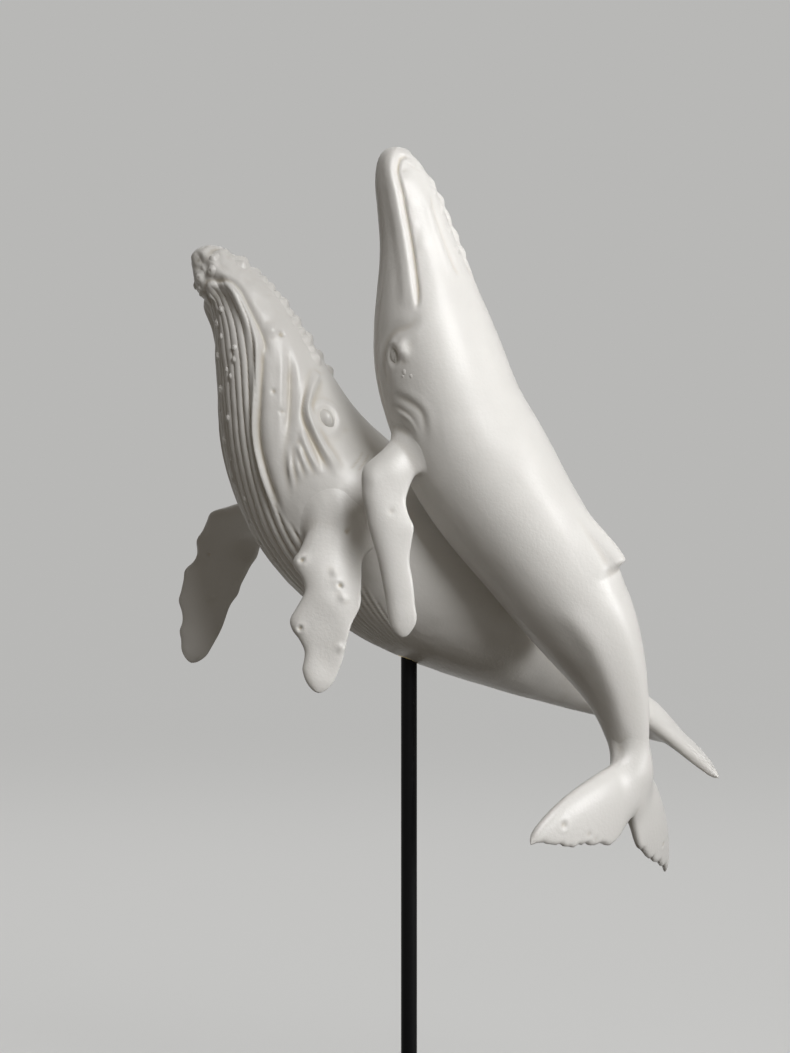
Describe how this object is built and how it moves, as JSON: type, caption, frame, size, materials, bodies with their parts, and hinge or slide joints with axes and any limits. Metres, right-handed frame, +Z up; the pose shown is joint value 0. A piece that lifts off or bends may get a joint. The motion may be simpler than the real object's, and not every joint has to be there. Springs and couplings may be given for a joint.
{
  "type": "whale pair figurine",
  "caption": "White porcelain humpback whale and her calf swimming upward side by side, carried at the belly on a slim black rod with a round weighted base.",
  "frame": {"origin": "centre of the felt foot's underside, on the rod's axis", "axes": "+Z up along the rod, +X to the right and +Y away as the picture looks at it"},
  "size_m": [0.206, 0.1492, 0.3742],
  "materials": {
    "porcelain": "satin",
    "black_coat": "satin",
    "felt": "matte",
    "zinc_steel": "satin",
    "nylon": "matte",
    "brass": "satin",
    "epoxy": "gloss"
  },
  "bodies": {
    "stand": {"felt_foot": "felt", "base_disc": "black_coat", "base_screw": "zinc_steel", "rod": "black_coat"},
    "liner": {"bearing_cap": "nylon"},
    "figure": {"socket_tube": "brass", "socket_plug": "brass", "epoxy_bed": "epoxy", "joining_pin": "zinc_steel", "mother_body": "porcelain", "mother_left_flipper": "porcelain", "mother_right_flipper": "porcelain", "mother_fluke": "porcelain", "mother_back_fin": "porcelain", "mother_eyes": "porcelain", "mother_tubercles": "porcelain", "mother_barnacles": "porcelain", "calf_body": "porcelain", "calf_left_flipper": "porcelain", "calf_right_flipper": "porcelain", "calf_fluke": "porcelain", "calf_back_fin": "porcelain", "calf_eyes": "porcelain", "calf_tubercles": "porcelain"}
  },
  "joints": [
    {"name": "figure_swivel", "type": "hinge", "parent": "stand", "child": "liner", "pos_m": [0, 0, 0.213], "axis": [0, 0, 1], "continuous": true},
    {"name": "lift_off", "type": "slide", "parent": "liner", "child": "figure", "axis": [0, 0, 1], "range_m": [0, 0.04]}
  ]
}
